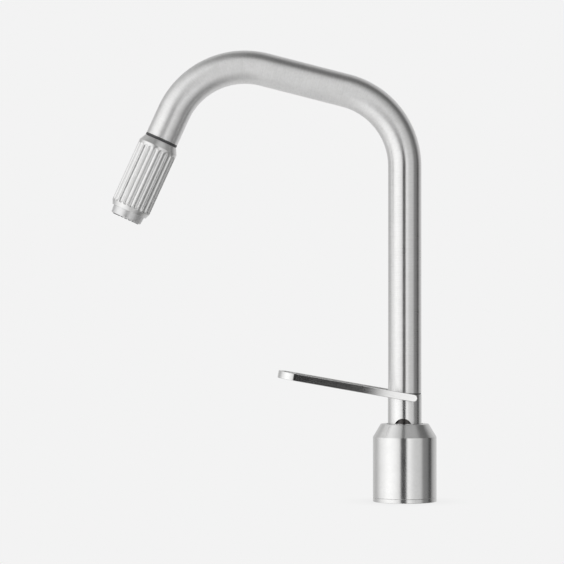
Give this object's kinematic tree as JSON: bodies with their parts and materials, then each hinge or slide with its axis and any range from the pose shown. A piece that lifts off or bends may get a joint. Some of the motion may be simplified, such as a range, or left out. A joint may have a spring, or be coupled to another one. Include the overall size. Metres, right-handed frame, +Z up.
{
  "type": "pull down kitchen faucet",
  "caption": "Single-hole kitchen faucet: round base, looped lever on a turning collar, arched swivel spout and a fluted pull-down spray head on a hose.",
  "frame": {"origin": "on the column's axis at the plane of the deck", "axes": "+Z up along the column, -X towards the spout's outlet, the faucet is symmetric about the XZ plane"},
  "size_m": [0.2738, 0.0536, 0.3802],
  "materials": {
    "steel_base": "brushed around the axis",
    "steel_trim": "brushed around the axis",
    "steel_collar": "brushed around the axis",
    "steel_tube": "brushed around the tube",
    "steel_lever": "brushed along the band",
    "steel_head": "satin flutes",
    "steel_screw": "satin",
    "dock_dark": "matt",
    "plastic_dark": "matt",
    "plastic_grey": "satin",
    "plastic_white": "satin",
    "ceramic_white": "lapped ceramic",
    "rubber_black": "matt",
    "rubber_grey": "matt",
    "brass_body": "machined",
    "brass_dark": "blackened",
    "brass_plated": "nickel plated",
    "magnet_grey": "nickel plated magnet",
    "hose_braid": "braided",
    "nozzle_plated": "satin plated"
  },
  "bodies": {
    "base": {"base_shell": "steel_base", "base_ring": "steel_trim", "deck_gasket": "rubber_black", "valve_body": "brass_body", "port_seals": "rubber_black", "fixed_disc": "ceramic_white", "cartridge_cup": "plastic_grey", "cartridge_nut": "brass_body", "collar_bush": "plastic_dark", "thrust_washer": "plastic_white", "swivel_stop_screw": "steel_screw", "shell_grub_screw": "steel_screw"},
    "collar": {"lever_collar": "steel_collar", "disc_driver": "plastic_white"},
    "flow": {"moving_disc": "ceramic_white", "disc_carriage": "plastic_grey"},
    "lever": {"lever_loop": "steel_lever", "pivot_pins": "steel_screw"},
    "spout": {"spout_tube": "steel_tube", "spout_spigot": "brass_dark", "spigot_seals": "rubber_black", "glide_ring": "plastic_dark", "docking_ring": "dock_dark", "dock_insert": "plastic_dark", "dock_magnet": "magnet_grey", "spray_hose": "hose_braid"},
    "hose_end": {"hose_stub": "hose_braid", "hose_ferrule": "steel_screw", "hose_cone": "brass_plated"},
    "head": {"head_sleeve": "steel_head", "head_core": "plastic_grey", "head_keeper_ring": "steel_screw", "head_seal": "rubber_black", "check_valve": "plastic_white", "aerator": "plastic_white", "nozzle_face": "nozzle_plated", "spray_nubs": "rubber_grey"}
  },
  "joints": [
    {"name": "lever_temperature", "type": "hinge", "parent": "base", "child": "collar", "pos_m": [0, 0, 0.078], "axis": [0, 0, 1], "range_deg": [-45, 45]},
    {"name": "lever_flow", "type": "hinge", "parent": "collar", "child": "lever", "pos_m": [0.0065, 0, 0.0877], "axis": [0, 1, 0], "range_deg": [0, 20]},
    {"name": "disc_slide", "type": "slide", "parent": "collar", "child": "flow", "axis": [1, 0, 0], "range_m": [0, 0.0035]},
    {"name": "spout_swivel", "type": "hinge", "parent": "base", "child": "spout", "pos_m": [0, 0, 0.091], "axis": [0, 0, 1], "range_deg": [-75, 75]},
    {"name": "head_pull", "type": "slide", "parent": "spout", "child": "hose_end", "axis": [-0.4145, 0, -0.91], "range_m": [0, 0.045]},
    {"name": "head_turn", "type": "hinge", "parent": "hose_end", "child": "head", "pos_m": [-0.20519, 0, 0.30478], "axis": [-0.4145, 0, -0.91], "continuous": true}
  ],
  "couplings": [
    {"joint": "disc_slide", "follows": "lever_flow", "m_per_rad": 0.01}
  ]
}
